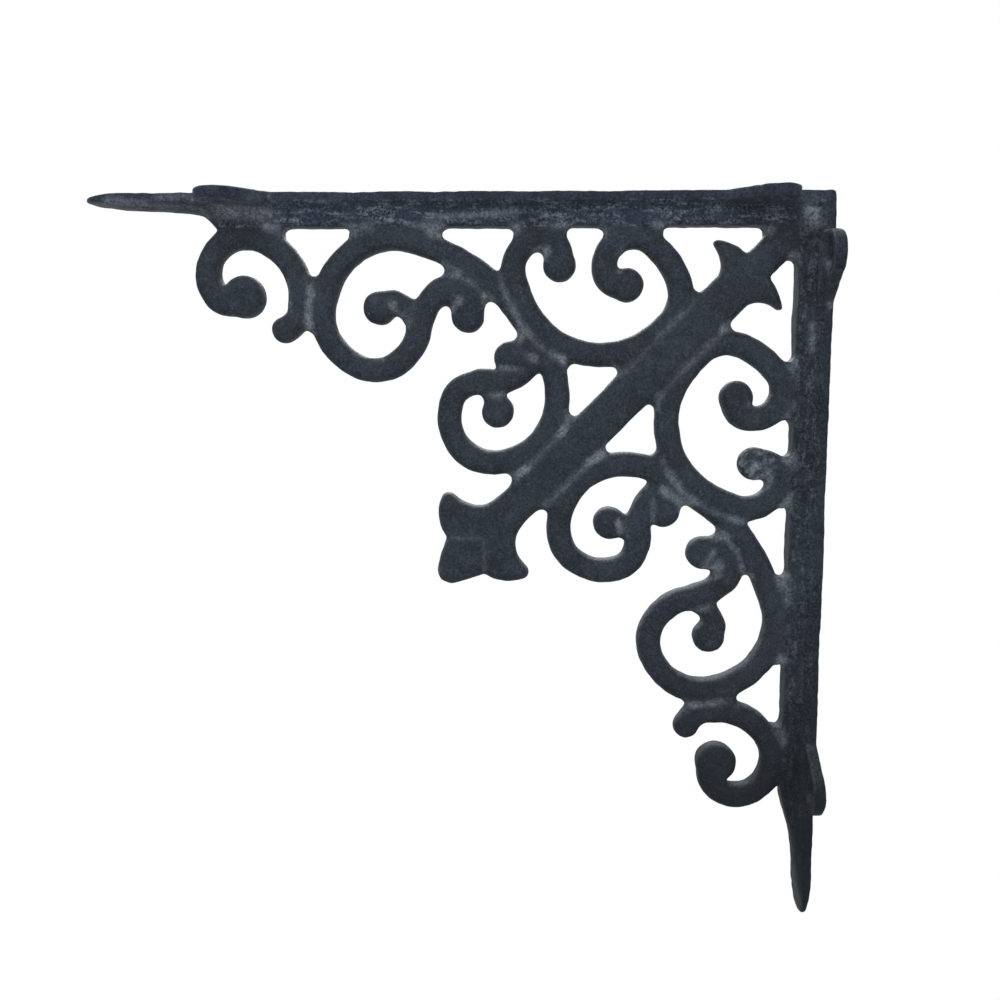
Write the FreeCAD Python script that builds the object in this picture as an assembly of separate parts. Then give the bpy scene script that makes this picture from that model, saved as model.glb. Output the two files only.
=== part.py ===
"""Ornamental scroll shelf bracket: two T-section arms, a diagonal brace and coped scrollwork.

Everything is drawn in a flat plan. u is the distance out from the wall face, v the distance down from the
shelf face and w the height above the bracket's middle plane. place() turns the plan into the part's frame,
where the wall face is X = 0, the shelf face is Z = 0 and the middle plane is Y = 0. Sizes are millimetres.
"""

import FreeCAD, Part
import math
import os

from FreeCAD import Vector

# Arms
SHELF_REACH = 198.0
WALL_DROP = 201.0
STRAP_WIDTH = 11.0
STRAP_THICKNESS = 3.2
RIB_THICKNESS = 7.0
RIB_DEPTH = 5.6

# Thin end of each arm, measured back from its tip, and the pointed nose that closes it
SPEAR_LENGTH = 35.0
SHELF_SPEAR_STEP = 4.0
WALL_SPEAR_STEP = 11.0
SPEAR_ROOT_DEPTH = 2.0
NOSE_LENGTH = 8.5
NOSE_EDGE = 1.2

# Screw ears, set out from the corner along each arm
NEAR_EAR = 17.0
SHELF_FAR_EAR = 160.0
WALL_FAR_EAR = 161.0
EAR_OFFSET = 10.0
EAR_RADIUS = 6.4
EAR_FLANK = 12.3
HOLE_DIAMETER = 4.8
COUNTERSINK_DIAMETER = 8.6

# Bars of the scrollwork
BAR_WIDTH = 6.6
CURL_WIDTH = 5.8
BAR_THICKNESS = 6.4
KNOB_RADIUS = 4.5
VOLUTE_RADIUS = 5.7
TOE_RADIUS = 3.5
FILLET_RADIUS = 1.5
SMALLEST_FILLET = 2.0
FILLET_REACH = 24.0

# Brace
BRACE_WIDTH = 11.0
NECK_WIDTH = 8.6

# Grid square that the drawings below are counted in, from the corner between the two ribs
GRID = 10.0

# Centre lines of the scrolls in grid squares, (along the rib, away from it)
END_SCROLL = [
    (13.69, 2.68), (13.33, 2.38), (13.24, 1.83), (13.40, 1.12), (13.88, 0.52), (14.55, 0.23),
    (15.25, 0.39), (15.68, 0.91), (15.68, 1.49), (15.28, 1.98), (14.76, 1.81),
]
S_SCROLL = [
    (8.78, 2.31), (8.62, 1.99), (9.37, 1.58), (9.76, 1.94), (9.99, 2.47), (10.14, 2.99),
    (11.14, 3.76), (12.22, 3.33), (12.20, 0.99), (10.73, 0.25), (9.80, 0.48), (8.25, 1.33),
    (6.90, 2.95), (6.40, 3.88), (6.40, 5.00), (7.03, 5.93), (8.95, 5.89), (9.26, 4.95),
    (9.06, 4.37), (8.47, 4.08), (7.80, 4.07), (6.98, 3.46),
]
S_SCROLL_KNOBS = [(8.76, 2.32), (7.60, 3.42)]
RING_CURL = [(10.10, 2.46), (10.48, 2.06), (10.88, 1.92), (11.13, 2.10)]
FOOT_CURL = [(8.22, 4.13), (8.05, 4.49), (7.94, 4.88)]
CORNER_SCROLL = [
    (6.30, 0.98), (6.68, 0.26), (7.13, 0.38), (7.46, 0.78), (7.28, 1.94), (6.84, 2.62),
    (4.96, 3.36), (3.50, 2.66), (3.14, 2.18), (3.60, 0.66), (4.20, 0.26), (5.09, 0.94),
    (4.97, 1.41), (4.50, 1.51),
]

# Half outlines of the brace and its finial in grid squares, (along it, off its middle)
BRACE_FOOT = 10.04
BARB_NOTCH = (1.46, 0.64)
BARB_TOP = (1.55, 0.92)
BARB_TIP_START = (1.74, 1.27)
BARB_TIP = (1.82, 1.31)
BARB_TIP_END = (1.88, 1.24)
BARB_UNDER = (1.97, 0.90)
BARB_ROOT = 2.32
FINIAL_WAIST = (10.70, 0.50)
FINIAL_THROAT = (11.15, 0.62)
FINIAL_FLARE = (11.43, 0.96)
FINIAL_WING_START = (11.53, 1.44)
FINIAL_WING = (11.66, 1.61)
FINIAL_WING_END = (11.82, 1.59)
FINIAL_WING_SIDE = (12.23, 1.30)
FINIAL_NOTCH = (12.50, 0.72)
FINIAL_LOBE_SIDE = (12.95, 0.51)
FINIAL_LOBE_CORNER = (13.35, 0.26)
FINIAL_END = 13.49

ARM_DEPTH = STRAP_THICKNESS + RIB_DEPTH
PLAN_NORMAL = Vector(0, 0, 1)
DIAGONAL = Vector(1, 1, 0).normalize()
ACROSS = Vector(-1, 1, 0).normalize()
INNER_CORNER = Vector(ARM_DEPTH, ARM_DEPTH, 0)


def grid_points(drawing):
    """Plan points of a drawing counted in grid squares from the corner between the ribs."""
    return [INNER_CORNER + Vector(along, away, 0) * GRID for along, away in drawing]


def tangents(points):
    """Unit direction of travel at each point, from the circle through it and its neighbours."""
    inner = []
    for before, here, after in zip(points, points[1:], points[2:]):
        step_in = here - before
        step_out = after - here
        inner.append((step_in / step_in.Length**2 + step_out / step_out.Length**2).normalize())

    def far_end(tangent, chord):
        chord = Vector(chord).normalize()
        return chord * (2 * tangent.dot(chord)) - tangent

    first = far_end(inner[0], points[1] - points[0])
    last = far_end(inner[-1], points[-1] - points[-2])
    return [first, *inner, last]


def biarcs(points):
    """Tangent arcs through the points, two to a span, each as (start, direction, end)."""
    directions = tangents(points)
    arcs = []
    for start, end, leave, arrive in zip(points, points[1:], directions, directions[1:]):
        chord = end - start
        reach = chord.dot(leave + arrive)
        bend = 2 * (1 - leave.dot(arrive))
        if bend < 1e-9:
            arm = chord.dot(chord) / (2 * reach)
        else:
            arm = (math.sqrt(reach**2 + bend * chord.dot(chord)) - reach) / bend
        first_corner = start + leave * arm
        second_corner = end - arrive * arm
        middle = (first_corner + second_corner) / 2
        arcs.append((start, leave, middle))
        arcs.append((middle, (second_corner - first_corner).normalize(), end))
    return arcs


def bar(points, width):
    """Plan of one bent bar along the tangent arcs through the points, a face to each arc."""
    faces = []
    for start, direction, end in biarcs(points):
        side = PLAN_NORMAL.cross(direction)
        section = Part.makeLine(start - side * (width / 2), start + side * (width / 2))
        chord = end - start
        turn = 2 * math.degrees(math.atan2(chord.dot(side), chord.dot(direction)))
        if abs(turn) < 0.05:
            faces.append(section.extrude(chord))
        else:
            centre = start + side * (chord.dot(chord) / (2 * chord.dot(side)))
            faces.append(section.revolve(centre, PLAN_NORMAL, turn))
    return faces


def knob(centre, radius):
    """Plan of the round button that ends a bar."""
    return Part.Face(Part.Wire(Part.makeCircle(radius, centre, PLAN_NORMAL)))


def polygon(corners):
    return Part.Face(Part.makePolygon([*corners, corners[0]]))


def joined(pieces):
    return pieces[0].multiFuse(pieces[1:]).removeSplitter()


def thick(plan, thickness):
    """Solid on a plan, half of it on each side of the middle plane."""
    lowered = plan.copy()
    lowered.translate(PLAN_NORMAL * (-thickness / 2))
    return lowered.extrude(PLAN_NORMAL * thickness)


def ear(station, towards_middle):
    """Plan of a screw ear on one side of a strap: a round pad with a long flank towards the arm's middle."""
    centre = Vector(0, EAR_OFFSET, 0)
    foot = Vector(EAR_FLANK, STRAP_WIDTH / 2, 0)
    to_pad = centre - foot
    opening = math.asin(EAR_RADIUS / to_pad.Length)
    heading = math.atan2(to_pad.y, to_pad.x) - opening
    reach = to_pad.Length * math.cos(opening)
    touch = foot + Vector(math.cos(heading), math.sin(heading), 0) * reach
    web = [
        Vector(-EAR_RADIUS, 0, 0),
        Vector(EAR_FLANK, 0, 0),
        foot,
        touch,
        centre,
        Vector(-EAR_RADIUS, EAR_OFFSET, 0),
    ]
    lobe = knob(centre, EAR_RADIUS).fuse(polygon(web))
    if towards_middle < 0:
        lobe = lobe.mirror(Vector(), Vector(1, 0, 0))
    lobe.translate(Vector(station, 0, 0))
    return lobe


def screw_hole(station, side):
    """Countersunk hole through an ear, the countersink on the strap's inner face."""
    radius = HOLE_DIAMETER / 2
    sink_radius = COUNTERSINK_DIAMETER / 2
    sink_depth = min(sink_radius - radius, STRAP_THICKNESS / 2)
    centre = Vector(station, side * EAR_OFFSET, 0)
    drill = Part.makeCylinder(radius, STRAP_THICKNESS, centre)
    sink = Part.makeCone(
        radius, sink_radius, sink_depth, centre + PLAN_NORMAL * (STRAP_THICKNESS - sink_depth)
    )
    return drill.fuse(sink)


def strap(reach, far_ear):
    """Flat strap of one arm with two ears on each side and a pointed round nose, outer face on v = 0."""
    half_width = STRAP_WIDTH / 2
    nose_centre = reach - half_width
    pieces = [Part.makePlane(nose_centre, STRAP_WIDTH, Vector(0, -half_width, 0))]
    pieces.append(knob(Vector(nose_centre, 0, 0), half_width))
    holes = []
    for station, towards_middle in ((NEAR_EAR, 1), (far_ear, -1)):
        lobe = ear(station, towards_middle)
        pieces += [lobe, lobe.mirror(Vector(), Vector(0, 1, 0))]
        holes += [screw_hole(station, 1), screw_hole(station, -1)]
    flat = joined([piece.extrude(PLAN_NORMAL * STRAP_THICKNESS) for piece in pieces])
    flat = flat.cut(Part.makeCompound(holes))
    flat.rotate(Vector(), Vector(1, 0, 0), -90)
    nose_start = reach - NOSE_LENGTH
    edge_top = (STRAP_THICKNESS - NOSE_EDGE) / 2
    edge_bottom = (STRAP_THICKNESS + NOSE_EDGE) / 2
    mitre = [Vector(), Vector(STRAP_THICKNESS, STRAP_THICKNESS, 0), Vector(0, STRAP_THICKNESS, 0)]
    over_nose = [Vector(nose_start, 0, 0), Vector(reach, edge_top, 0), Vector(reach, 0, 0)]
    under_nose = [
        Vector(nose_start, STRAP_THICKNESS, 0),
        Vector(reach, STRAP_THICKNESS, 0),
        Vector(reach, edge_bottom, 0),
    ]
    waste = [thick(polygon(corners), 2 * STRAP_WIDTH) for corners in (mitre, over_nose, under_nose)]
    return flat.cut(Part.makeCompound(waste))


def rib(reach, step):
    """Plan of the rib on a strap's inner face, mitred at the corner and thinning out at the arm's end."""
    shoulder = reach - SPEAR_LENGTH
    return polygon([
        Vector(STRAP_THICKNESS, STRAP_THICKNESS, 0),
        INNER_CORNER,
        Vector(shoulder, ARM_DEPTH, 0),
        Vector(shoulder + step, STRAP_THICKNESS + SPEAR_ROOT_DEPTH, 0),
        Vector(reach - NOSE_LENGTH, STRAP_THICKNESS, 0),
    ])


def on_brace(along, off):
    return INNER_CORNER + DIAGONAL * (along * GRID) + ACROSS * off


def half_outline(side, path):
    """Edges down one side of the brace: corners joined by lines, or by an arc through a middle point."""
    edges = []
    here = None
    for *middle, corner in path:
        there = on_brace(corner[0], side * corner[1])
        if here is not None and middle:
            through = on_brace(middle[0][0], side * middle[0][1])
            edges.append(Part.Arc(here, through, there).toShape())
        elif here is not None:
            edges.append(Part.makeLine(here, there))
        here = there
    return edges


def plate(path):
    """Plan with the same half outline on each side of the brace's middle."""
    edges = []
    for side in (1, -1):
        edges += half_outline(side, path)
    for along, off in (path[0][-1], path[-1][-1]):
        if off:
            edges.append(Part.makeLine(on_brace(along, off), on_brace(along, -off)))
    return Part.Face(Part.Wire(Part.__sortEdges__(edges)))


def squares(point):
    """A brace outline's point with its offset turned from grid squares into millimetres."""
    return (point[0], point[1] * GRID)


def brace():
    """Plan of the diagonal bar from the corner: a neck, a barb on each side and a wider shaft."""
    barbs = [
        [squares(BARB_NOTCH)],
        [squares(BARB_TOP), squares(BARB_TIP_START)],
        [squares(BARB_TIP), squares(BARB_TIP_END)],
        [squares(BARB_UNDER), (BARB_ROOT, BRACE_WIDTH / 2)],
    ]
    runs = [(0, BARB_NOTCH[0], NECK_WIDTH), (BARB_ROOT, BRACE_FOOT, BRACE_WIDTH)]
    pieces = [plate(barbs)]
    for start, end, width in runs:
        pieces.append(plate([[(start, width / 2)], [(end, width / 2)]]))
    return joined(pieces)


def brace_finial():
    """Plan of the fishtail at the foot of the brace: two flared wings and a blunt middle lobe."""
    path = [
        [(BRACE_FOOT, BRACE_WIDTH / 2)],
        [squares(FINIAL_WAIST), squares(FINIAL_THROAT)],
        [squares(FINIAL_FLARE), squares(FINIAL_WING_START)],
        [squares(FINIAL_WING), squares(FINIAL_WING_END)],
        [squares(FINIAL_WING_SIDE), squares(FINIAL_NOTCH)],
        [squares(FINIAL_LOBE_SIDE), squares(FINIAL_LOBE_CORNER)],
        [(FINIAL_END, 0)],
    ]
    return plate(path)


def scrolls():
    """Plans of one side's scrollwork before coping, in the order that it is fitted."""
    end = grid_points(END_SCROLL)
    s_knobs = grid_points(S_SCROLL_KNOBS)
    ring = grid_points(RING_CURL)
    foot = grid_points(FOOT_CURL)
    corner = grid_points(CORNER_SCROLL)
    s_scroll = grid_points(S_SCROLL)
    corner_knobs = [knob(corner[0], KNOB_RADIUS), knob(corner[-1], KNOB_RADIUS)]
    end_knobs = [knob(end[0], TOE_RADIUS), knob(end[-1], VOLUTE_RADIUS)]
    return {
        "corner_scroll": joined(bar(corner, BAR_WIDTH) + corner_knobs),
        "s_scroll": joined(bar(s_scroll, BAR_WIDTH) + [knob(point, KNOB_RADIUS) for point in s_knobs]),
        "ring_curl": joined(bar(ring, CURL_WIDTH) + [knob(ring[-1], KNOB_RADIUS)]),
        "foot_curl": joined(bar(foot, CURL_WIDTH) + [knob(foot[-1], KNOB_RADIUS)]),
        "end_scroll": joined(bar(end, BAR_WIDTH) + end_knobs),
    }


def across_diagonal(shape):
    """The same shape on the other arm."""
    return shape.mirror(Vector(), Vector(1, -1, 0))


def place(shape):
    """Turns the plan (u, v, w) into the part's frame: X = -u, Y = -w, Z = -v."""
    turned = shape.copy()
    turned.Placement = FreeCAD.Placement(
        Vector(), FreeCAD.Rotation(Vector(-1, 0, 0), Vector(0, 0, -1), Vector(0, -1, 0), "XYZ")
    )
    return turned


def centre_path(edge, space):
    """Line or circle that the centre of a ball follows when it rolls along one edge of an open space."""
    middle = edge.valueAt((edge.FirstParameter + edge.LastParameter) / 2)
    travel = edge.tangentAt((edge.FirstParameter + edge.LastParameter) / 2)
    inward = PLAN_NORMAL.cross(travel)
    if not space.isInside(middle + inward * 0.01, 1e-6, True):
        inward = -inward
    centre = middle + inward * FILLET_RADIUS
    if isinstance(edge.Curve, Part.Line):
        return Part.Line(centre, centre + travel)
    return Part.Circle(edge.Curve.Center, PLAN_NORMAL, centre.distanceToPoint(edge.Curve.Center))


def crossings(first, second):
    """Points where two such paths cross."""
    if isinstance(first, Part.Line) and isinstance(second, Part.Line):
        if first.Direction.cross(second.Direction).Length < 1e-6:
            return []
    if isinstance(first, Part.Circle) and isinstance(second, Part.Circle):
        if first.Center.distanceToPoint(second.Center) < 1e-6:
            return []
    return [Vector(point.X, point.Y, point.Z) for point in first.intersectCC(second)]


def stretch(edge, start, end):
    """The line or arc along an edge between two of its points."""
    if isinstance(edge.Curve, Part.Line):
        return Part.makeLine(start, end)
    centre = edge.Curve.Center
    outward = ((start + end) / 2 - centre).normalize()
    return Part.Arc(start, centre + outward * edge.Curve.Radius, end).toShape()


def crotch(centre, chain, joints):
    """Face between a ball and the edges of the crotch that it rests in, or None where it rests in none."""
    ball = Part.Vertex(centre)
    start = ball.distToShape(chain[0])[1][0][1]
    end = ball.distToShape(chain[-1])[1][0][1]
    towards = start + end - centre * 2
    if towards.Length < 1e-3 or start.distanceToPoint(end) < 1e-3:
        return None
    if any((joint - centre).dot(towards) <= 0 for joint in joints):
        return None
    stops = [start, *joints, end]
    sides = []
    for edge, here, there in zip(chain, stops, stops[1:]):
        if here.distanceToPoint(there) > 1e-6:
            sides.append(stretch(edge, here, there))
    middle = centre + towards.normalize() * FILLET_RADIUS
    return Part.Face(Part.Wire([*sides, Part.Arc(end, middle, start).toShape()]))


def crotches(space):
    """Faces in the corners of an open space that a ball of the fillet radius can't roll into."""
    outline = space.OuterWire
    edges = outline.OrderedEdges
    corners = [vertex.Point for vertex in outline.OrderedVertexes]
    paths = [centre_path(edge, space) for edge in edges]
    centres = []
    faces = []
    for first in range(len(edges)):
        passed = 0.0
        for step in range(1, len(edges)):
            if passed > FILLET_REACH:
                break
            indexes = [(first + k) % len(edges) for k in range(step + 1)]
            for centre in crossings(paths[first], paths[indexes[-1]]):
                ball = Part.Vertex(centre)
                clear = ball.distToShape(outline)[0] > FILLET_RADIUS - 1e-5
                reach = max(ball.distToShape(edges[first])[0], ball.distToShape(edges[indexes[-1]])[0])
                if not clear or reach > FILLET_RADIUS + 1e-5 or not space.isInside(centre, 1e-6, False):
                    continue
                if any(centre.distanceToPoint(other) < 1e-3 for other in centres):
                    continue
                face = crotch(centre, [edges[k] for k in indexes], [corners[k] for k in indexes[1:]])
                if face is not None:
                    centres.append(centre)
                    faces.append(face)
            passed += edges[indexes[-1]].Length
    return faces


def fillets(plans, side):
    """Plans of the cast fillets on one side of the diagonal, where a rolling ball can't reach."""
    far = 2 * max(SHELF_REACH, WALL_DROP)
    ends = [Vector(-far, -far, 0), Vector(far, far, 0)]
    half_plan = polygon([*ends, ACROSS * (side * far)])
    webs = []
    for space in half_plan.cut(plans).Faces:
        for face in crotches(space):
            inside = face.distToShape(half_plan.OuterWire)[0] > FILLET_RADIUS
            if inside and face.Area > SMALLEST_FILLET:
                webs.append(face)
    return Part.makeCompound(webs)


def build():
    plans = {
        "shelf_rib": rib(SHELF_REACH, SHELF_SPEAR_STEP),
        "wall_rib": across_diagonal(rib(WALL_DROP, WALL_SPEAR_STEP)),
    }
    ribs = list(plans.values())
    plans["brace"] = brace().cut(ribs)
    plans["brace_finial"] = brace_finial()
    one_side = scrolls()
    for arm in ("shelf", "wall"):
        fitted = [*ribs, plans["brace"]]
        for name, plan in one_side.items():
            if arm == "wall":
                plan = across_diagonal(plan)
            coped = plan.cut(fitted)
            plans[f"{arm}_{name}"] = coped
            fitted.append(coped)
    outlined = list(plans.values())
    plans["shelf_fillets"] = fillets(outlined, -1)
    plans["wall_fillets"] = fillets(outlined, 1)
    nodes = {
        "shelf_strap": strap(SHELF_REACH, SHELF_FAR_EAR),
        "wall_strap": across_diagonal(strap(WALL_DROP, WALL_FAR_EAR)),
    }
    for name, plan in plans.items():
        nodes[name] = thick(plan, RIB_THICKNESS if name.endswith("rib") else BAR_THICKNESS)
    return nodes


def main():
    os.makedirs("parts", exist_ok=True)
    for name, shape in build().items():
        print(name, len(shape.Solids), round(shape.Volume), shape.isValid())
        place(shape).exportStep(f"parts/{name}.step")


main()
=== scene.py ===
"""Looks of the scroll shelf bracket: rough cast skin, worn blue-black paint, light and camera.

Lengths are metres in the part's own frame: the wall face is X = 0, the shelf face is Z = 0 and the middle
plane is Y = 0. The camera stands on the -Y side.
"""

import math

import bmesh
import bpy
from mathutils import Matrix, Vector, noise
from mathutils.bvhtree import BVHTree
from mathutils.geometry import intersect_point_line
from mathutils.kdtree import KDTree


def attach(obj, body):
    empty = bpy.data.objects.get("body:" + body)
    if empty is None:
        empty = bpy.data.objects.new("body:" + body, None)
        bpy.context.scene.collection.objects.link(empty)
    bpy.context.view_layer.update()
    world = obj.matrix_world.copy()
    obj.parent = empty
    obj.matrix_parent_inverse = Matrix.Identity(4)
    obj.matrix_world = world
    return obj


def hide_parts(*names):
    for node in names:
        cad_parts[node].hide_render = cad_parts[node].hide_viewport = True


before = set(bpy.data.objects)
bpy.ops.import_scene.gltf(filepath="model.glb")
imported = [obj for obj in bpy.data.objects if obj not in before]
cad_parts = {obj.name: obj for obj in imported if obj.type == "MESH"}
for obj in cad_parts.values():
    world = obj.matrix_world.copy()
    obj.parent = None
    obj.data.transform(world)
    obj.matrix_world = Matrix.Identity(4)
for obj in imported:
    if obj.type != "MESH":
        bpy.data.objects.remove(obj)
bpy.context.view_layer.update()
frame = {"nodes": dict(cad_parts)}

ARMS = ("shelf", "wall")

# Camera, a little above the middle and tipped down
CAMERA_PLACE = (-0.0821, -0.280, -0.0471)
CAMERA_PAN = math.radians(1.145)
CAMERA_TILT = math.radians(-7.09)
CAMERA_ROLL = math.radians(0.07)
CAMERA_NEAR = 0.01
SENSOR_WIDTH = 36.0
LENS = 36.89

# Even mesh, and the rounds of softening on it
VOXEL = 0.00045
MERGE_GAP = 1e-6
BAR_SOFTENING = 24
STRAP_SOFTENING = 5
BLEND_SOFTENING = 4

# Seams between pieces: reach, overlap, and how firmly the edge is held at a flush seam and at a valley
SEAM_REACH = 0.0013
SEAM_OVERLAP = 0.0004
FLUSH_HOLD = 0.95
VALLEY_HOLD = 0.30

# Webs in the crotches: swell, the gap at which one still touches a piece, and the dust round them
WEB_SWELL = 0.00008
WEB_TOUCH = 0.00003
WEB_REACH = 0.0009
WEB_DUST = 0.75

# Fit of a piece to the skin: how near and how alike in direction a point is, and how deep the rest goes
SNAP_REACH = 0.0016
SNAP_TILT = 0.25
SEAM_TUCK = 0.0003
FLANGE_SINK = 0.00001

# Unevenness of the cast surface
WOBBLE_SPACING = 0.010
WOBBLE_DEPTH = 0.00030
PEBBLE_SPACING = 0.0024
PEBBLE_DEPTH = 0.00014

# Sides of a bar: the most that one leans towards Y, and the gap at which it still touches a neighbour
SIDE_TILT = 0.5
SIDE_TOUCH = 0.00035

# Rounded sections of the bars: the share by which the faces fall at a free edge and at a joint, and its reach
EDGE_FALL = 0.42
EDGE_REACH = 0.0026
JOINT_FALL = 0.28
JOINT_REACH = 0.0018

# Valleys where two bars of an arm lie side by side, with the strength of each
VALLEY_REACH = 0.0009
VALLEY_FAR = 4 * VALLEY_REACH
VALLEY_DEPTH = 0.00025
VALLEYS = {
    ("s_scroll", "end_scroll"): 0.9,
    ("s_scroll", "corner_scroll"): 0.7,
    ("s_scroll", "brace"): 0.75,
    ("corner_scroll", "brace"): 0.28,
    ("ring_curl", "s_scroll"): 0.6,
    ("foot_curl", "s_scroll"): 0.6,
}

# Patches in which the dust of valleys and webs comes and goes
PATCH_SPACING = 0.0055
PATCH_RANGE = (-0.35, 0.25)

# Cove that fills the corner between strap and rib, by depth below the outer face
COVE_SOFTENING = 120
COVE_TOP = 0.0024
COVE_FOOT = 0.0068
COVE_SIDE = 0.0060
COVE_FADE = 0.0008
COVE_END = (0.0050, 0.0100)

# Rounding of the outer corner
CORNER_REACH = 0.0032
CORNER_SOFTENING = 60

# Lump of metal at the corner, on the front
LUMP_PLACE = (-0.0062, -0.0061)
LUMP_LENGTH = 0.0033
LUMP_WIDTH = 0.0024
LUMP_LEAN = math.radians(-18.0)
LUMP_HEIGHT = 0.0018

# Badly pitted knob on the wall arm's corner scroll
PIT_PLACE = (-0.0196, -0.0722)
PIT_REACH = 0.0066
PIT_SPACING = 0.0013
PIT_DEPTH = 0.0017
PIT_LEVEL = 0.1
PIT_DUST_RANGE = (-0.1, 0.35)

# Grooves on both faces, each as two (X, Z) points: the finial's folds and the forks of the S scrolls
GROOVE_DEPTH = 0.0011
GROOVE_WIDTH = 0.0008
GROOVE_FADE = 0.6
FOLD_STRENGTH = 0.45
FINIAL_FOLDS = [((-0.1023, -0.0921), (-0.0925, -0.0921)), ((-0.0921, -0.1023), (-0.0921, -0.0925))]
SHELF_FORKS = [
    ((-0.1026, -0.0207), (-0.0955, -0.0228)),
    ((-0.0955, -0.0228), (-0.0923, -0.0262)),
    ((-0.0888, -0.0457), (-0.0814, -0.0461)),
]
WALL_FORKS = [((start[1], start[0]), (end[1], end[0])) for start, end in SHELF_FORKS]

# Dust in hollows of the surface, and the weight of each other place that holds dust
CREVICE_START = 0.04
CREVICE_SPAN = 0.22
VALLEY_DUST = 0.35
VALLEY_PATCH_DUST = 0.65
GROOVE_DUST = 0.8
LUMP_DUST = 1.3
PIT_DUST = 1.6

# Worn marks, and pale marks of painted light that lift the shadows under the shelf ears: start, end, reach
# and strength
WEAR_AND_LIGHT_MARKS = [
    ((-0.1905, -0.0050, -0.0030), (-0.1650, -0.0044, -0.0056), 0.0017, 0.9),
    ((-0.1770, -0.0050, -0.0012), (-0.1696, -0.0050, -0.0012), 0.0009, 0.6),
    # Painted light: pale patches on the undersides of the two shelf ears, lifting the shadows the ears cast
    ((-0.1630, -0.0090, -0.0033), (-0.1520, -0.0080, -0.0033), 0.0035, 0.6),
    ((-0.0210, -0.0090, -0.0033), (-0.0120, -0.0080, -0.0033), 0.0030, 0.45),
    ((-0.0207, -0.0030, -0.0556), (-0.0195, -0.0030, -0.0558), 0.0008, 0.9),
    ((-0.1046, -0.0020, -0.0995), (-0.1046, -0.0020, -0.1022), 0.0006, 0.8),
    ((-0.1683, -0.0055, -0.0012), (-0.1683, -0.0055, -0.0026), 0.0010, 0.9),
    ((-0.1505, -0.0056, -0.0009), (-0.1480, -0.0056, -0.0011), 0.0008, 0.9),
    # Dust below the left shelf ear, strengthened as painted light to lift the ear's shadow
    ((-0.1620, -0.0040, -0.0042), (-0.1500, -0.0036, -0.0054), 0.0024, 1.0),
    ((-0.0107, -0.0070, -0.0014), (-0.0107, -0.0110, -0.0018), 0.0012, 0.7),
    ((-0.0010, -0.0080, -0.0107), (-0.0025, -0.0120, -0.0107), 0.0018, 0.6),
    ((-0.0032, -0.0105, -0.0180), (-0.0032, -0.0105, -0.0215), 0.0015, 0.6),
    ((-0.0018, -0.0056, -0.0272), (-0.0009, -0.0056, -0.0298), 0.0009, 0.9),
    ((-0.0032, -0.0105, -0.1570), (-0.0032, -0.0105, -0.1610), 0.0015, 0.6),
    ((-0.1060, -0.0035, -0.0066), (-0.0836, -0.0035, -0.0052), 0.0008, 0.6),
    ((-0.0047, -0.0035, -0.0345), (-0.0047, -0.0035, -0.0415), 0.0008, 0.7),
    ((-0.1163, -0.0028, -0.0290), (-0.1140, -0.0026, -0.0325), 0.0010, 0.8),
    ((-0.0752, -0.0026, -0.0148), (-0.0750, -0.0024, -0.0162), 0.0009, 0.7),
    ((-0.0556, -0.0026, -0.0148), (-0.0558, -0.0024, -0.0205), 0.0009, 0.6),
    ((-0.0182, -0.0026, -0.0765), (-0.0186, -0.0024, -0.0790), 0.0010, 0.8),
    ((-0.0297, -0.0028, -0.0960), (-0.0320, -0.0024, -0.1008), 0.0009, 0.7),
    ((-0.0553, -0.0028, -0.0878), (-0.0548, -0.0024, -0.0900), 0.0010, 0.9),
    ((-0.0965, -0.0022, -0.0640), (-0.0915, -0.0022, -0.0668), 0.0008, 0.7),
    ((-0.0640, -0.0022, -0.0945), (-0.0590, -0.0022, -0.0953), 0.0008, 0.7),
    ((-0.1265, -0.0022, -0.0420), (-0.1190, -0.0022, -0.0434), 0.0008, 0.7),
    ((-0.1443, -0.0022, -0.0230), (-0.1436, -0.0022, -0.0310), 0.0008, 0.6),
]

# Colours, linear
SCROLL_PAINT = (0.0272, 0.0345, 0.0448, 1.0)
SCROLL_DEEP = (0.0120, 0.0157, 0.0207, 1.0)
SHELF_PAINT = (0.0262, 0.0350, 0.0527, 1.0)
SHELF_DEEP = (0.0100, 0.0128, 0.0205, 1.0)
WALL_PAINT = (0.0225, 0.0305, 0.0400, 1.0)
WALL_DEEP = (0.0075, 0.0098, 0.0135, 1.0)
# Pale dust, also the colour of the painted top light on upward sides and of the painted light under the shelf
# ears
PALE_DUST_AND_LIGHT = (0.198, 0.222, 0.258, 1.0)
# Painted shade: the darker colour toward the wall arm's foot
FOOT_PAINTED_SHADE = (0.0075, 0.0090, 0.0118, 1.0)
FLOOR = (0.80, 0.80, 0.79, 1.0)
WHITE = (1.0, 1.0, 1.0, 1.0)

# Noises in the paint: scale per metre, detail and roughness
PATCHES = (85.0, 2.0, 0.55)
MOTTLE = (480.0, 4.0, 0.7)
GRAINS = (1600.0, 3.0, 0.7)
STREAKS = (1.0, 5.0, 0.7)

# Streaks of bare metal: their scale per metre along each axis, and their strength
EVEN_GRAIN = (300.0, 300.0, 300.0)
SHELF_GRAIN = (130.0, 620.0, 620.0)
WALL_GRAIN = (620.0, 620.0, 130.0)
SCROLL_BARE = 0.06
SHELF_BARE = 0.52
WALL_BARE = 0.24

# Weights of the noises in the paint's tone, in the speckle of its dust and in its grit
TONE_MOTTLE = 0.25
TONE_PATCHES = 0.20
TONE_GRAINS = 0.55
SPECKLE_GRAINS = 0.6
SPECKLE_MOTTLE = 0.4
GRIT_GRAINS = 0.4
GRIT_MOTTLE = 0.6

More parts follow.
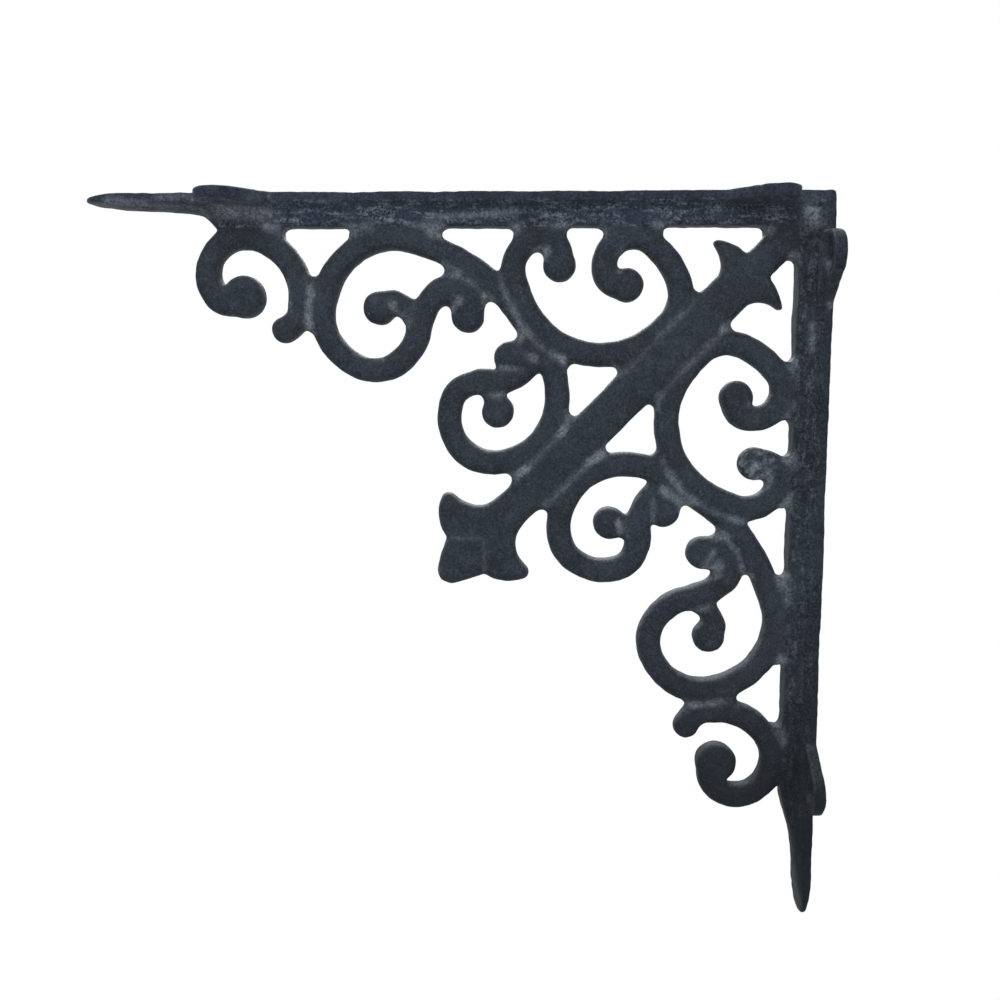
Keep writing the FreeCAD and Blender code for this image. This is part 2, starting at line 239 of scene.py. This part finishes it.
# Values at which each of the paint's masks starts and is full
TONE_RANGE = (0.38, 0.62)
BROKEN_RANGE = (0.42, 0.62)
WORN_RANGE = (0.42, 0.66)
FLECK_RANGE = (0.66, 0.77)
SIDE_RANGE = (0.10, 0.60)
UPWARD_RANGE = (0.05, 0.60)

# Lengths at which each of an arm's masks starts and is full: two by depth below its face, one across it
BELOW_STRAP = (0.0018, 0.0028)
OFF_FACE = (0.0002, 0.0012)
MIDDLE_PART = (0.0075, 0.0062)

# Shares as the least and what is added to it: dust on the sides, with painted top light on the upward-facing
# ones, dust in the grime with its painted light under the ears, and the roughness
SIDE_DUST_AND_TOP_LIGHT = (0.20, 0.40)
SIDE_SPECKLE = (0.35, 0.55)
FACE_DUST = (0.4, 0.6)
GRIME_AND_LIGHT_SPECKLE = (0.28, 0.50)
ROUGHNESS = (0.45, 0.25)

# Strength of the single flecks, of the sheen and of the fine bump
FLECK_DUST = 0.45
SPECULAR = 0.06
BUMP_STRENGTH = 0.5
BUMP_DISTANCE = 0.00035

# Painted shade darkening the foot of the wall arm: the heights where it starts and where it is full, and its
# share there
FOOT_SHADE_RANGE = (-0.105, -0.182)
FOOT_SHADE_SHARE = 0.75

# Stage, with the place, size and power of each lamp
AIM = (-0.085, 0.0, -0.085)
LAMPS = {
    "key": ((-0.40, -0.72, 0.52), 0.7, 8.5),
    "fill": ((0.95, -1.35, 0.0), 0.9, 9.4),
    "back": ((-0.1, 0.8, 0.5), 0.7, 9.0),
}
WORLD_LIGHT = 0.28
BACKGROUND_LIGHT = 1.0
FLOOR_HEIGHT = -0.5
FLOOR_WIDTH = 1.6
FLOOR_BACK = 0.35
FLOOR_FRONT = FLOOR_BACK - FLOOR_WIDTH
FLOOR_ROUGHNESS = 0.8


def add(tree, kind, inputs=None, **settings):
    """New shader node with its settings and with each input set to a value or linked to a socket."""
    made = tree.nodes.new(kind)
    for name, value in settings.items():
        setattr(made, name, value)
    for name, value in (inputs or {}).items():
        if isinstance(value, bpy.types.NodeSocket):
            tree.links.new(value, made.inputs[name])
        else:
            made.inputs[name].default_value = value
    return made


def math_node(tree, operation, *values):
    """Result of a math node on sockets or numbers."""
    return add(tree, "ShaderNodeMath", dict(enumerate(values)), operation=operation).outputs[0]


def combine(tree, operation, first, *others):
    """Result of one operation applied to several sockets or numbers in turn."""
    total = first
    for value in others:
        total = math_node(tree, operation, total, value)
    return total


def weighted(tree, *parts):
    """Sum of sockets, each given with its weight."""
    total = 0.0
    for value, weight in parts:
        total = math_node(tree, "MULTIPLY_ADD", value, weight, total)
    return total


def share_by(tree, value, amounts):
    """The first of two amounts, with the second added in proportion to a value."""
    least, added = amounts
    return math_node(tree, "MULTIPLY_ADD", value, added, least)


def smooth_step(tree, value, start, full):
    """0 before the start, 1 beyond the full value, eased in between."""
    made = add(
        tree,
        "ShaderNodeMapRange",
        {"Value": value, "From Min": start, "From Max": full},
        interpolation_type="SMOOTHSTEP",
    )
    return made.outputs["Result"]


def noise_value(tree, vector, scale, detail, roughness):
    """Value of a noise at a vector."""
    made = add(
        tree,
        "ShaderNodeTexNoise",
        {"Vector": vector, "Scale": scale, "Detail": detail, "Roughness": roughness},
    )
    return made.outputs["Fac"]


def mix_colours(tree, share, first, second):
    """Colour between two, each a socket or a plain colour."""
    made = add(tree, "ShaderNodeMix", {"Factor": share, "A": first, "B": second}, data_type="RGBA")
    return made.outputs["Result"]


def iron_paint(name, colour, deep, grain, bare, depth_axis=None):
    """Worn matte paint on cast iron, with dust on its sides, in its grime and where it is worn bare, with
    painted top light on the upward-facing sides, painted light under the shelf ears from the grime, and
    painted shade darkening the wall arm's foot.

    The grain is the scale of the bare streaks along each axis, and bare is their strength. On an arm,
    depth_axis is the axis that runs out of its flat face, and the strap's edge and ears stay dark.
    """
    material = bpy.data.materials.new(name)
    material.use_nodes = True
    tree = material.node_tree
    tree.nodes.clear()
    place = add(tree, "ShaderNodeTexCoord").outputs["Object"]
    place_parts = add(tree, "ShaderNodeSeparateXYZ", {"Vector": place}).outputs
    along = add(tree, "ShaderNodeVectorMath", {0: place, 1: grain}, operation="MULTIPLY").outputs["Vector"]
    normal = add(tree, "ShaderNodeNewGeometry").outputs["Normal"]
    normal_parts = add(tree, "ShaderNodeSeparateXYZ", {"Vector": normal}).outputs
    grime_and_light = add(tree, "ShaderNodeAttribute", attribute_name="grime_and_light").outputs["Fac"]
    patches = noise_value(tree, place, *PATCHES)
    mottle = noise_value(tree, place, *MOTTLE)
    grains = noise_value(tree, place, *GRAINS)
    streaks = noise_value(tree, along, *STREAKS)

    facing = math_node(tree, "ABSOLUTE", normal_parts["Y"])
    side = smooth_step(tree, math_node(tree, "SUBTRACT", 1.0, facing), *SIDE_RANGE)
    upward = smooth_step(tree, normal_parts["Z"], *UPWARD_RANGE)
    speckle = weighted(tree, (grains, SPECKLE_GRAINS), (mottle, SPECKLE_MOTTLE))
    broken = smooth_step(tree, speckle, *BROKEN_RANGE)
    # Painted top light with the dust: a side grows paler the more it faces up
    top_light_share = share_by(tree, upward, SIDE_DUST_AND_TOP_LIGHT)
    side_dust_and_top_light = combine(tree, "MULTIPLY", side, top_light_share, share_by(tree, broken, SIDE_SPECKLE))
    grime_dust_and_light = math_node(tree, "MULTIPLY", grime_and_light, share_by(tree, broken, GRIME_AND_LIGHT_SPECKLE))
    worn = smooth_step(tree, streaks, *WORN_RANGE)
    bare_dust = combine(tree, "MULTIPLY", worn, broken, bare)
    if depth_axis:
        depth = math_node(tree, "MULTIPLY", place_parts[depth_axis], -1.0)
        off_face = smooth_step(tree, depth, *OFF_FACE)
        side_dust_and_top_light = math_node(tree, "MULTIPLY", side_dust_and_top_light, share_by(tree, off_face, FACE_DUST))
        below = smooth_step(tree, depth, *BELOW_STRAP)
        across = math_node(tree, "ABSOLUTE", place_parts["Y"])
        on_rib = math_node(tree, "MULTIPLY", below, smooth_step(tree, across, *MIDDLE_PART))
        bare_dust = math_node(tree, "MULTIPLY", bare_dust, on_rib)
    flecks = math_node(tree, "MULTIPLY", smooth_step(tree, grains, *FLECK_RANGE), FLECK_DUST)
    # Pale share: dust, with painted top light on upward sides and painted light under the shelf ears
    dust = combine(tree, "MAXIMUM", side_dust_and_top_light, grime_dust_and_light, bare_dust, flecks)

    tone = weighted(tree, (mottle, TONE_MOTTLE), (patches, TONE_PATCHES), (grains, TONE_GRAINS))
    paint = mix_colours(tree, smooth_step(tree, tone, *TONE_RANGE), deep, colour)
    dusted_and_lit = mix_colours(tree, dust, paint, PALE_DUST_AND_LIGHT)
    # Painted shade: the colour darkens toward the foot of the wall arm
    foot_shade = math_node(tree, "MULTIPLY", smooth_step(tree, place_parts["Z"], *FOOT_SHADE_RANGE), FOOT_SHADE_SHARE)
    grit = weighted(tree, (grains, GRIT_GRAINS), (mottle, GRIT_MOTTLE))
    bump = add(
        tree, "ShaderNodeBump", {"Height": grit, "Strength": BUMP_STRENGTH, "Distance": BUMP_DISTANCE}
    )
    shader = add(
        tree,
        "ShaderNodeBsdfPrincipled",
        {
            "Base Color": mix_colours(tree, foot_shade, dusted_and_lit, FOOT_PAINTED_SHADE),
            "Roughness": share_by(tree, mottle, ROUGHNESS),
            "Specular IOR Level": SPECULAR,
            "Normal": bump.outputs["Normal"],
        },
    )
    add(tree, "ShaderNodeOutputMaterial", {"Surface": shader.outputs["BSDF"]})
    return material


def is_fillet(node):
    """Whether a node holds the webs of an arm's crotches."""
    return node.endswith("_fillets")


def is_arm_bar(node):
    """Whether a node is the strap or the rib of an arm."""
    return node.endswith(("_strap", "_rib"))


def is_open_bar(node):
    """Whether a node is a bar whose joints with other such bars show as a valley."""
    return node == "brace" or node.endswith(("_scroll", "_curl"))


def neighbours_of(node):
    """All the other nodes, apart from the fillets."""
    return [other for other in frame["nodes"] if other != node and not is_fillet(other)]


def surface_tree(nodes):
    """Search tree over the surfaces of several CAD nodes."""
    points = []
    faces = []
    for node in nodes:
        mesh = frame["nodes"][node].data
        start = len(points)
        points += [vertex.co.copy() for vertex in mesh.vertices]
        faces += [[start + index for index in polygon.vertices] for polygon in mesh.polygons]
    return BVHTree.FromPolygons(points, faces)


def fillet_webs():
    """The separate webs of the fillet nodes, each as (node, points, faces) and a little swollen."""
    webs = []
    for node in filter(is_fillet, frame["nodes"]):
        work = bmesh.new()
        work.from_mesh(frame["nodes"][node].data)
        bmesh.ops.remove_doubles(work, verts=work.verts, dist=MERGE_GAP)
        work.normal_update()
        left = set(work.verts)
        while left:
            queue = [left.pop()]
            island = []
            while queue:
                vertex = queue.pop()
                island.append(vertex)
                near = {edge.other_vert(vertex) for edge in vertex.link_edges} & left
                left -= near
                queue += near
            place = {vertex: index for index, vertex in enumerate(island)}
            faces = {face for vertex in island for face in vertex.link_faces}
            webs.append((
                node,
                [vertex.co + vertex.normal * WEB_SWELL for vertex in island],
                [[place[vertex] for vertex in face.verts] for face in faces],
            ))
        work.free()
    return webs


def with_webs(node, webs):
    """Mesh of a CAD node with the webs that touch it, and the fillet nodes that those come from."""
    source = frame["nodes"][node].data
    points = [vertex.co.copy() for vertex in source.vertices]
    faces = [list(polygon.vertices) for polygon in source.polygons]
    own = surface_tree([node])
    used = set()
    for fillet_node, web_points, web_faces in webs:
        if min(own.find_nearest(point)[3] for point in web_points) > WEB_SWELL + WEB_TOUCH:
            continue
        start = len(points)
        points += web_points
        faces += [[start + index for index in face] for face in web_faces]
        used.add(fillet_node)
    mesh = bpy.data.meshes.new(f"{node}_cast")
    mesh.from_pydata(points, [], faces)
    return mesh, sorted(used)


def linked_object(name, data):
    """New object in the scene, with its mesh, lamp or camera."""
    made = bpy.data.objects.new(name, data)
    bpy.context.scene.collection.objects.link(made)
    return made


def bake(piece, modifier):
    """Puts the result of one modifier into the piece's own mesh."""
    depsgraph = bpy.context.evaluated_depsgraph_get()
    mesh = bpy.data.meshes.new_from_object(piece.evaluated_get(depsgraph))
    piece.modifiers.remove(modifier)
    piece.data = mesh


def remesh(piece):
    """Makes the piece one closed mesh of even faces."""
    modifier = piece.modifiers.new("even", "REMESH")
    modifier.mode = "VOXEL"
    modifier.voxel_size = VOXEL
    bake(piece, modifier)


def soften(piece, times, freedom=None):
    """Rounds the edges of an even mesh, less where the freedom of a point is less."""
    modifier = piece.modifiers.new("soften", "SMOOTH")
    modifier.iterations = times
    if freedom is not None:
        group = piece.vertex_groups.new(name="freedom")
        for index, value in enumerate(freedom):
            group.add([index], value, "REPLACE")
        modifier.vertex_group = group.name
    bake(piece, modifier)
    piece.vertex_groups.clear()


def fading(distance, reach):
    """1 at no distance, falling smoothly to 0 beyond the reach."""
    return math.exp(-((distance / reach) ** 2))


def ramp(value, low, high):
    """0 below low, 1 above high, eased in between."""
    share = min(max((value - low) / (high - low), 0.0), 1.0)
    return share * share * (3.0 - 2.0 * share)


def rise(distance, reach):
    """0 at an edge, rising as a quarter round to 1 at the reach."""
    share = min(distance / reach, 1.0)
    return math.sqrt(share * (2.0 - share))


def closeness(piece, tree):
    """How close each point lies to other surfaces, from 1 on them to 0."""
    return [fading(tree.find_nearest(vertex.co)[3], SEAM_REACH) for vertex in piece.data.vertices]


def in_plan(vector):
    """A place or direction with its Y left out."""
    return Vector((vector.x, 0.0, vector.z))


def plan_tree(places):
    """Search tree over places seen in plan."""
    tree = KDTree(len(places))
    for index, place in enumerate(places):
        tree.insert(in_plan(place), index)
    tree.balance()
    return tree


def touches(tree, place):
    """Whether a place lies on one of the tree's surfaces."""
    return tree.find_nearest(place, SIDE_TOUCH)[0] is not None


def round_section(piece, bars, others):
    """Lets a bar's two faces fall away towards its free edges, and less towards its joints with bars."""
    vertices = piece.data.vertices
    sides = [vertex.co.copy() for vertex in vertices if abs(vertex.normal.y) < SIDE_TILT]
    joined = [place for place in sides if touches(bars, place)]
    free = [place for place in sides if not touches(bars, place) and not touches(others, place)]
    for places, fall, reach in ((free, EDGE_FALL, EDGE_REACH), (joined, JOINT_FALL, JOINT_REACH)):
        tree = plan_tree(places)
        for vertex in vertices:
            distance = tree.find(in_plan(vertex.co))[2] if places else reach
            vertex.co.y *= 1.0 - fall * (1.0 - rise(distance, reach))


def rounded_piece(node, mesh):
    """One piece with rounded edges, full where it meets a neighbour flush, and overlapping it a little."""
    piece = linked_object(f"{node}_cast", mesh)
    remesh(piece)
    neighbours = neighbours_of(node)
    valley = [other for other in neighbours if is_open_bar(node) and is_open_bar(other)]
    flush = [other for other in neighbours if other not in valley]
    flush_seam = closeness(piece, surface_tree(flush))
    valley_seam = closeness(piece, surface_tree(valley)) if valley else [0.0] * len(flush_seam)
    seams = list(zip(flush_seam, valley_seam))
    if not is_arm_bar(node):
        round_section(piece, surface_tree(valley), surface_tree(flush))
    freedom = [1.0 - max(FLUSH_HOLD * at_flush, VALLEY_HOLD * at_valley) for at_flush, at_valley in seams]
    soften(piece, STRAP_SOFTENING if node.endswith("_strap") else BAR_SOFTENING, freedom)
    vertices = piece.data.vertices
    outward = [in_plan(vertex.normal) for vertex in vertices]
    for vertex, push, seam in zip(vertices, outward, seams):
        vertex.co += push * (max(seam) * SEAM_OVERLAP)
    return piece


def groove_depth(place, start, end):
    """How deep a groove between two (X, Z) points cuts at a place, 0 to 1."""
    here = Vector((place.x, place.z))
    start = Vector(start)
    run = Vector(end) - start
    share = min(max((here - start).dot(run) / run.length_squared, 0.0), 1.0)
    distance = (here - start - run * share).length
    return fading(distance, GROOVE_WIDTH) * (1.0 - GROOVE_FADE * share)


def deepest_groove(place):
    """How deep the folds and forks cut at a place, 0 to 1."""
    fold = max(groove_depth(place, *points) for points in FINIAL_FOLDS)
    fork = max(groove_depth(place, *points) for points in SHELF_FORKS + WALL_FORKS)
    return max(fold * FOLD_STRENGTH, fork)


def lump_height(place):
    """How much of the corner lump stands at a place on the front, 0 to 1."""
    across = place.x - LUMP_PLACE[0]
    up = place.z - LUMP_PLACE[1]
    long = up * math.cos(LUMP_LEAN) + across * math.sin(LUMP_LEAN)
    wide = across * math.cos(LUMP_LEAN) - up * math.sin(LUMP_LEAN)
    return fading(long, LUMP_LENGTH) * fading(wide, LUMP_WIDTH) if place.y < 0.0 else 0.0


def pitting(place):
    """Depth of the pits and share of dust at a place on the pitted knob, each 0 to 1."""
    away = math.hypot(place.x - PIT_PLACE[0], place.z - PIT_PLACE[1]) / PIT_REACH
    if away > 1.0 or place.y > 0.0:
        return 0.0, 0.0
    grain = noise.noise(place / PIT_SPACING)
    eaten = 1.0 - away**4
    return max(0.0, PIT_LEVEL - grain) * eaten, ramp(grain, *PIT_DUST_RANGE) * eaten


def wear_and_light_strength(place):
    """How strongly a place is worn, or brightened by painted light under the shelf ears, by one of the marks,
    0 to 1.
    """
    worn = 0.0
    for start, end, reach, strength in WEAR_AND_LIGHT_MARKS:
        share = intersect_point_line(place, start, end)[1]
        nearest = Vector(start).lerp(Vector(end), min(max(share, 0.0), 1.0))
        worn = max(worn, strength * fading((place - nearest).length, reach))
    return worn


def valley_strengths(piece):
    """How far each point lies in a valley between two bars, 0 to 1."""
    joints = []
    for arm in ARMS:
        for pair, strength in VALLEYS.items():
            joints.append(([name if name == "brace" else f"{arm}_{name}" for name in pair], strength))
    names = sorted({name for pair, _ in joints for name in pair})
    trees = {name: surface_tree([name]) for name in names}
    values = []
    for vertex in piece.data.vertices:
        hits = {name: tree.find_nearest(vertex.co, VALLEY_FAR)[3] for name, tree in trees.items()}
        near = {name: distance for name, distance in hits.items() if distance is not None}
        deepest = 0.0
        for pair, strength in joints:
            if all(name in near for name in pair):
                deepest = max(deepest, strength * fading(max(near[name] for name in pair), VALLEY_REACH))
        values.append(deepest)
    return values


def cavity(mesh):
    """How hollow the surface is round each point, from the rise of its neighbours above it."""
    total = [0.0] * len(mesh.vertices)
    count = [0] * len(mesh.vertices)
    for edge in mesh.edges:
        for here, there in (edge.vertices, reversed(edge.vertices)):
            step = mesh.vertices[there].co - mesh.vertices[here].co
            total[here] += step.dot(mesh.vertices[here].normal) / step.length
            count[here] += 1
    return [value / number for value, number in zip(total, count)]


def cove_freedom(place, depth, along):
    """How freely a point moves into the cove, by its depth below an arm's face and its way along the arm."""
    below_top = ramp(depth, COVE_TOP, COVE_TOP + COVE_FADE)
    above_foot = 1.0 - ramp(depth, COVE_FOOT - COVE_FADE, COVE_FOOT)
    middle_part = 1.0 - ramp(abs(place.y), COVE_SIDE, COVE_SIDE + COVE_FADE)
    return below_top * above_foot * middle_part * ramp(along, *COVE_END)


def joined_casting(pieces):
    """The pieces run together into one even mesh, with its coves filled and its outer corner rounded."""
    whole = bmesh.new()
    for piece in pieces:
        whole.from_mesh(piece.data)
    mesh = bpy.data.meshes.new("casting")
    whole.to_mesh(mesh)
    whole.free()
    casting = linked_object("casting", mesh)
    remesh(casting)
    soften(casting, BLEND_SOFTENING)
    places = [vertex.co for vertex in casting.data.vertices]
    shelf_freedom = [cove_freedom(place, -place.z, -place.x) for place in places]
    wall_freedom = [cove_freedom(place, -place.x, -place.z) for place in places]
    soften(casting, COVE_SOFTENING, [max(pair) for pair in zip(shelf_freedom, wall_freedom)])
    places = [vertex.co for vertex in casting.data.vertices]
    corner_freedom = [fading(math.hypot(place.x, place.z), CORNER_REACH) for place in places]
    soften(casting, CORNER_SOFTENING, corner_freedom)
    return casting


def casting_skin(pieces):
    """Skin of the whole casting, lumped, grooved and roughened, with the grime at each of its points and the
    painted light under the shelf ears.
    """
    casting = joined_casting(pieces)
    valleys = valley_strengths(casting)
    hollows = cavity(casting.data)
    fillets = surface_tree(filter(is_fillet, frame["nodes"]))
    vertices = casting.data.vertices
    normals = [vertex.normal.copy() for vertex in vertices]
    grime_and_light = []
    for vertex, normal, hollow, valley in zip(vertices, normals, hollows, valleys):
        place = vertex.co.copy()
        valley *= abs(normal.y)
        groove = deepest_groove(place) * abs(normal.y)
        lump = lump_height(place)
        pit, pit_dust = pitting(place)
        height = noise.noise(place / WOBBLE_SPACING) * WOBBLE_DEPTH
        height += noise.noise(place / PEBBLE_SPACING) * PEBBLE_DEPTH
        height += lump * LUMP_HEIGHT - groove * GROOVE_DEPTH - pit * PIT_DEPTH - valley * VALLEY_DEPTH
        vertex.co += normal * height
        vertex.co.x = min(vertex.co.x, 0.0)
        vertex.co.z = min(vertex.co.z, 0.0)
        patch = ramp(noise.noise(place / PATCH_SPACING), *PATCH_RANGE)
        dust = min(max(hollow - CREVICE_START, 0.0) / CREVICE_SPAN, 1.0)
        dust += valley * (VALLEY_DUST + VALLEY_PATCH_DUST * patch)
        dust += GROOVE_DUST * groove + LUMP_DUST * lump + PIT_DUST * pit_dust
        dust += fading(fillets.find_nearest(place)[3], WEB_REACH) * WEB_DUST * patch
        grime_and_light.append(min(dust + wear_and_light_strength(place), 1.0))
    casting.data.update()
    return casting, grime_and_light


def fit_to_skin(node, piece, skin_tree, face_grime_and_light):
    """Moves a piece's visible points onto the skin, tucks the others under it and takes the grime with its
    painted light.

    What laps over a neighbour sinks a hair, so that no two pieces share a surface.
    """
    vertices = piece.data.vertices
    own = surface_tree([node])
    neighbours = surface_tree(neighbours_of(node))
    own_normals = [vertex.normal.copy() for vertex in vertices]
    attribute = piece.data.attributes.new("grime_and_light", "FLOAT", "POINT")
    for vertex, own_normal, stored in zip(vertices, own_normals, attribute.data):
        place, normal, face, distance = skin_tree.find_nearest(vertex.co)
        if distance < SNAP_REACH and own_normal.dot(normal) > SNAP_TILT:
            laps_over = neighbours.find_nearest(place)[3] < own.find_nearest(place)[3]
            vertex.co = place - normal * FLANGE_SINK if laps_over else place
        elif (vertex.co - place).dot(normal) > -SEAM_TUCK:
            vertex.co = place - normal * SEAM_TUCK
        stored.value = face_grime_and_light[face]


def soft_light(name, place, size, power):
    """Large soft lamp aimed at the middle of the part."""
    data = bpy.data.lights.new(name, "AREA")
    data.shape = "DISK"
    data.size = size
    data.energy = power
    lamp = linked_object(name, data)
    lamp.location = place
    lamp.rotation_euler = (Vector(AIM) - Vector(place)).to_track_quat("-Z", "Y").to_euler()


# Pieces
scroll_paint = iron_paint("scroll_paint", SCROLL_PAINT, SCROLL_DEEP, EVEN_GRAIN, SCROLL_BARE)
arm_paints = {
    "shelf": iron_paint("shelf_paint", SHELF_PAINT, SHELF_DEEP, SHELF_GRAIN, SHELF_BARE, "Z"),
    "wall": iron_paint("wall_paint", WALL_PAINT, WALL_DEEP, WALL_GRAIN, WALL_BARE, "X"),
}
webs = fillet_webs()
pieces = {}
replaced = {}
for node in frame["nodes"]:
    if not is_fillet(node):
        mesh, used_fillets = with_webs(node, webs)
        pieces[node] = rounded_piece(node, mesh)
        replaced[node] = [node, *used_fillets]

casting, grime_and_light = casting_skin(pieces.values())
skin_faces = [list(polygon.vertices) for polygon in casting.data.polygons]
skin_tree = BVHTree.FromPolygons([vertex.co.copy() for vertex in casting.data.vertices], skin_faces)
face_grime_and_light = [sum(grime_and_light[index] for index in face) / len(face) for face in skin_faces]
for node, piece in pieces.items():
    fit_to_skin(node, piece, skin_tree, face_grime_and_light)
    piece.data.materials.clear()
    piece.data.materials.append(arm_paints[node.split("_")[0]] if is_arm_bar(node) else scroll_paint)
    piece.data.polygons.foreach_set("use_smooth", [True] * len(piece.data.polygons))
    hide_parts(*replaced[node])
    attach(piece, "root")
bpy.data.objects.remove(casting)

# Lamps and floor
for name, (place, size, power) in LAMPS.items():
    soft_light(name, place, size, power)

floor_left = AIM[0] - FLOOR_WIDTH / 2
floor_right = AIM[0] + FLOOR_WIDTH / 2
floor_corners = [
    (floor_left, FLOOR_FRONT, FLOOR_HEIGHT),
    (floor_right, FLOOR_FRONT, FLOOR_HEIGHT),
    (floor_right, FLOOR_BACK, FLOOR_HEIGHT),
    (floor_left, FLOOR_BACK, FLOOR_HEIGHT),
]
floor_mesh = bpy.data.meshes.new("floor")
floor_mesh.from_pydata(floor_corners, [], [[0, 1, 2, 3]])
floor = linked_object("floor", floor_mesh)
floor_material = bpy.data.materials.new("pale_floor")
floor_material.use_nodes = True
floor_shader = floor_material.node_tree.nodes["Principled BSDF"]
floor_shader.inputs["Base Color"].default_value = FLOOR
floor_shader.inputs["Roughness"].default_value = FLOOR_ROUGHNESS
floor.data.materials.append(floor_material)

# World: a soft light on the part, and white where the camera or a reflection sees it
world = bpy.data.worlds.new("studio")
world.use_nodes = True
bpy.context.scene.world = world
sky = world.node_tree
sky.nodes.clear()
ray = add(sky, "ShaderNodeLightPath").outputs
seen = combine(sky, "MAXIMUM", ray["Is Camera Ray"], ray["Is Glossy Ray"], ray["Is Transmission Ray"])
light = add(sky, "ShaderNodeBackground", {"Color": WHITE, "Strength": WORLD_LIGHT})
white = add(sky, "ShaderNodeBackground", {"Color": WHITE, "Strength": BACKGROUND_LIGHT})
mixed = add(
    sky, "ShaderNodeMixShader", {0: seen, 1: light.outputs["Background"], 2: white.outputs["Background"]}
)
add(sky, "ShaderNodeOutputWorld", {"Surface": mixed.outputs["Shader"]})

# Camera
camera_data = bpy.data.cameras.new("camera")
camera_data.sensor_width = SENSOR_WIDTH
camera_data.lens = LENS
camera_data.clip_start = CAMERA_NEAR
camera = linked_object("camera", camera_data)
turns = Matrix.Rotation(CAMERA_PAN, 4, "Z") @ Matrix.Rotation(CAMERA_TILT, 4, "X")
turns = turns @ Matrix.Rotation(CAMERA_ROLL, 4, "Y") @ Matrix.Rotation(math.pi / 2, 4, "X")
camera.matrix_world = Matrix.Translation(CAMERA_PLACE) @ turns
bpy.context.scene.camera = camera
bpy.context.scene.view_settings.view_transform = "Standard"
